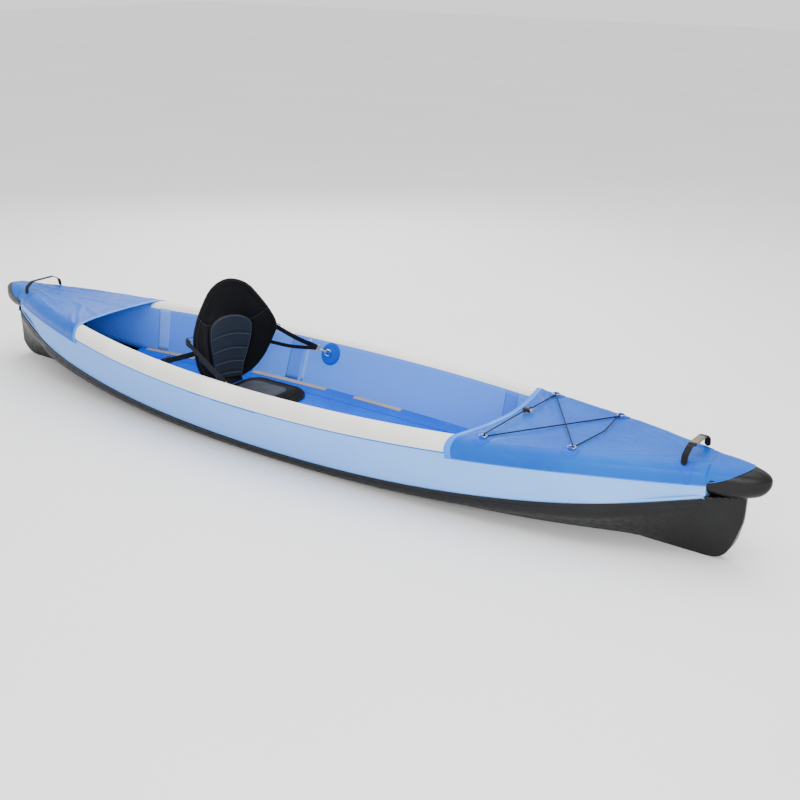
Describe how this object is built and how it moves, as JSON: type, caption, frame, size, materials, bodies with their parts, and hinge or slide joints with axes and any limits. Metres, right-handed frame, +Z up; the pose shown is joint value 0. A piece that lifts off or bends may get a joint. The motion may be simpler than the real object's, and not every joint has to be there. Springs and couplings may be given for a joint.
{
  "type": "inflatable kayak",
  "caption": "Drop-stitch inflatable kayak with flared side walls, spray decks, bungee lacing, carry handles and a strapped high-back seat.",
  "frame": {"origin": "under the middle of the boat, on the ground", "axes": "+X to the bow, +Y to port, +Z up"},
  "size_m": [4.298, 0.9112, 0.67],
  "materials": {
    "pvc_panel": "glossy coated PVC, light blue",
    "pvc_floor": "glossy coated PVC, bright blue",
    "pvc_black": "satin coated PVC, black",
    "nose_rubber": "satin moulded rubber",
    "pvc_white": "glossy coated PVC tape, off-white",
    "pvc_deck": "glossy coated PVC, bright blue",
    "pvc_patch": "welded PVC patch, blue",
    "webbing_tan": "woven webbing, grey tan",
    "steel": "stainless steel",
    "valve_plastic": "moulded nylon",
    "bungee": "braided shock cord",
    "lock_plastic": "moulded nylon",
    "brass": "plated snap hook",
    "grip_rubber": "ribbed soft grip",
    "webbing_black": "woven webbing, black",
    "pad_rubber": "non-slip pad",
    "board_plastic": "polyethylene board",
    "channel_pad": "moulded foam panel, slate",
    "seat_mesh": "padded mesh fabric, black"
  },
  "bodies": {
    "hull": {"side_chamber_left": "pvc_panel", "side_chamber_right": "pvc_panel", "floor_chamber": "pvc_floor", "bottom_sheet": "pvc_black", "bow_stem": "pvc_black", "stern_stem": "pvc_black", "bow_nose_cap": "nose_rubber", "stern_nose_cap": "nose_rubber", "gunwale_tapes": "pvc_white", "bow_deck": "pvc_deck", "stern_deck": "pvc_deck", "deck_patches": "pvc_patch", "seat_ring_patches": "pvc_patch", "floor_edge_strips": "pvc_floor", "floor_webbing": "webbing_tan", "valve_nuts": "valve_plastic", "valve_body_left": "valve_plastic", "valve_body_right": "valve_plastic", "valve_body_floor": "valve_plastic", "valve_spring_left": "steel", "valve_spring_right": "steel", "valve_spring_floor": "steel", "bungee_cord": "bungee", "cord_lock_body": "lock_plastic", "cord_lock_spring": "steel", "seat_base": "seat_mesh", "seat_base_pad": "pad_rubber", "seat_strap_front_left": "webbing_black", "seat_strap_rear_left": "webbing_black", "seat_strap_front_right": "webbing_black", "seat_strap_rear_right": "webbing_black"},
    "bow_ring_aft_left": {"bow_ring_aft_left": "steel"},
    "bow_ring_aft_right": {"bow_ring_aft_right": "steel"},
    "bow_ring_fore_left": {"bow_ring_fore_left": "steel"},
    "bow_ring_fore_right": {"bow_ring_fore_right": "steel"},
    "cord_lock_button": {"cord_lock_button": "lock_plastic"},
    "bow_handle": {"bow_handle_strap": "webbing_black", "bow_handle_grip": "grip_rubber"},
    "stern_handle": {"stern_handle_strap": "webbing_black"},
    "valve_plunger_left": {"valve_plunger_left": "valve_plastic"},
    "valve_cap_left": {"valve_cap_left": "valve_plastic"},
    "valve_plunger_right": {"valve_plunger_right": "valve_plastic"},
    "valve_cap_right": {"valve_cap_right": "valve_plastic"},
    "valve_plunger_floor": {"valve_plunger_floor": "valve_plastic"},
    "valve_cap_floor": {"valve_cap_floor": "valve_plastic"},
    "backrest": {"backrest": "seat_mesh", "backrest_board": "board_plastic", "backrest_panel": "channel_pad"},
    "seat_ring_front_left": {"seat_ring_front_left": "steel", "snap_hook_front_left": "brass"},
    "hook_gate_front_left": {"hook_gate_front_left": "brass"},
    "seat_ring_rear_left": {"seat_ring_rear_left": "steel", "snap_hook_rear_left": "brass"},
    "hook_gate_rear_left": {"hook_gate_rear_left": "brass"},
    "seat_ring_front_right": {"seat_ring_front_right": "steel", "snap_hook_front_right": "brass"},
    "hook_gate_front_right": {"hook_gate_front_right": "brass"},
    "seat_ring_rear_right": {"seat_ring_rear_right": "steel", "snap_hook_rear_right": "brass"},
    "hook_gate_rear_right": {"hook_gate_rear_right": "brass"}
  },
  "joints": [
    {"name": "bow_ring_aft_left_swing", "type": "hinge", "parent": "hull", "child": "bow_ring_aft_left", "pos_m": [1.11, 0.30057, 0.36993], "axis": [1, 0, 0], "range_deg": [-6, 6], "deforming": ["bungee_cord"]},
    {"name": "bow_ring_aft_right_swing", "type": "hinge", "parent": "hull", "child": "bow_ring_aft_right", "pos_m": [1.11, -0.30057, 0.36993], "axis": [-1, 0, 0], "range_deg": [-6, 6], "deforming": ["bungee_cord"]},
    {"name": "bow_ring_fore_left_swing", "type": "hinge", "parent": "hull", "child": "bow_ring_fore_left", "pos_m": [1.45, 0.21699, 0.38169], "axis": [1, 0, 0], "range_deg": [-6, 6], "deforming": ["bungee_cord"]},
    {"name": "bow_ring_fore_right_swing", "type": "hinge", "parent": "hull", "child": "bow_ring_fore_right", "pos_m": [1.45, -0.21699, 0.38169], "axis": [-1, 0, 0], "range_deg": [-6, 6], "deforming": ["bungee_cord"]},
    {"name": "cord_lock_press", "type": "slide", "parent": "hull", "child": "cord_lock_button", "axis": [-1, 0, 0], "range_m": [0, 0.004], "stiffness_N_per_m": 600, "springref_m": -0.002, "deforming": ["cord_lock_spring"]},
    {"name": "bow_handle_flop", "type": "hinge", "parent": "hull", "child": "bow_handle", "pos_m": [1.855, 0, 0.3942], "axis": [0, 1, 0], "range_deg": [-60, 60]},
    {"name": "stern_handle_flop", "type": "hinge", "parent": "hull", "child": "stern_handle", "pos_m": [-1.855, 0, 0.3942], "axis": [0, 1, 0], "range_deg": [-60, 60]},
    {"name": "valve_left_press", "type": "slide", "parent": "hull", "child": "valve_plunger_left", "axis": [-0.0883, 0.9466, -0.3102], "range_m": [0, 0.005], "stiffness_N_per_m": 700, "springref_m": -0.003, "deforming": ["valve_spring_left"]},
    {"name": "valve_left_cap_turn", "type": "hinge", "parent": "hull", "child": "valve_cap_left", "pos_m": [-0.69, 0.28484, 0.19], "axis": [0.0883, -0.9466, 0.3102], "range_deg": [0, 90]},
    {"name": "valve_right_press", "type": "slide", "parent": "hull", "child": "valve_plunger_right", "axis": [-0.0883, -0.9466, -0.3102], "range_m": [0, 0.005], "stiffness_N_per_m": 700, "springref_m": -0.003, "deforming": ["valve_spring_right"]},
    {"name": "valve_right_cap_turn", "type": "hinge", "parent": "hull", "child": "valve_cap_right", "pos_m": [-0.69, -0.28484, 0.19], "axis": [0.0883, 0.9466, 0.3102], "range_deg": [0, 90]},
    {"name": "valve_floor_press", "type": "slide", "parent": "hull", "child": "valve_plunger_floor", "axis": [0, 0, -1], "range_m": [0, 0.005], "stiffness_N_per_m": 700, "springref_m": -0.003, "deforming": ["valve_spring_floor"]},
    {"name": "valve_floor_cap_turn", "type": "hinge", "parent": "hull", "child": "valve_cap_floor", "pos_m": [-1, -0.09, 0.1038], "axis": [0, 0, 1], "range_deg": [0, 90]},
    {"name": "backrest_fold", "type": "hinge", "parent": "hull", "child": "backrest", "pos_m": [-0.518, 0, 0.15], "axis": [0.342, 0.9397, 0], "range_deg": [-14, 50], "deforming": ["seat_strap_front_left", "seat_strap_rear_left", "seat_strap_front_right", "seat_strap_rear_right"]},
    {"name": "seat_ring_front_left_swing", "type": "hinge", "parent": "hull", "child": "seat_ring_front_left", "pos_m": [-0.1558, 0.33743, 0.27406], "axis": [-0.2864, -0.3756, -0.8814], "range_deg": [-4, 4], "deforming": ["seat_strap_front_left"]},
    {"name": "hook_gate_front_left_open", "type": "hinge", "parent": "seat_ring_front_left", "child": "hook_gate_front_left", "pos_m": [-0.18817, 0.30782, 0.2972], "axis": [0.2864, 0.3756, 0.8814], "range_deg": [0, 28], "stiffness_Nm_per_rad": 0.02, "springref_deg": -5.73},
    {"name": "seat_ring_rear_left_swing", "type": "hinge", "parent": "hull", "child": "seat_ring_rear_left", "pos_m": [-0.76877, 0.28668, 0.25804], "axis": [-0.0116, 0.2902, 0.9569], "range_deg": [-4, 4], "deforming": ["seat_strap_rear_left"]},
    {"name": "hook_gate_rear_left_open", "type": "hinge", "parent": "seat_ring_rear_left", "child": "hook_gate_rear_left", "pos_m": [-0.73522, 0.25183, 0.26902], "axis": [0.0116, -0.2902, -0.9569], "range_deg": [0, 28], "stiffness_Nm_per_rad": 0.02, "springref_deg": -5.73},
    {"name": "seat_ring_front_right_swing", "type": "hinge", "parent": "hull", "child": "seat_ring_front_right", "pos_m": [-0.1558, -0.33743, 0.27406], "axis": [0.2147, -0.3815, 0.8991], "range_deg": [-4, 4], "deforming": ["seat_strap_front_right"]},
    {"name": "hook_gate_front_right_open", "type": "hinge", "parent": "seat_ring_front_right", "child": "hook_gate_front_right", "pos_m": [-0.19756, -0.31788, 0.29233], "axis": [-0.2147, 0.3815, -0.8991], "range_deg": [0, 28], "stiffness_Nm_per_rad": 0.02, "springref_deg": -5.73},
    {"name": "seat_ring_rear_right_swing", "type": "hinge", "parent": "hull", "child": "seat_ring_rear_right", "pos_m": [-0.76877, -0.28668, 0.25804], "axis": [-0.012, 0.2929, -0.9561], "range_deg": [-4, 4], "deforming": ["seat_strap_rear_right"]},
    {"name": "hook_gate_rear_right_open", "type": "hinge", "parent": "seat_ring_rear_right", "child": "hook_gate_rear_right", "pos_m": [-0.74196, -0.24669, 0.26996], "axis": [0.012, -0.2929, 0.9561], "range_deg": [0, 28], "stiffness_Nm_per_rad": 0.02, "springref_deg": -5.73}
  ]
}
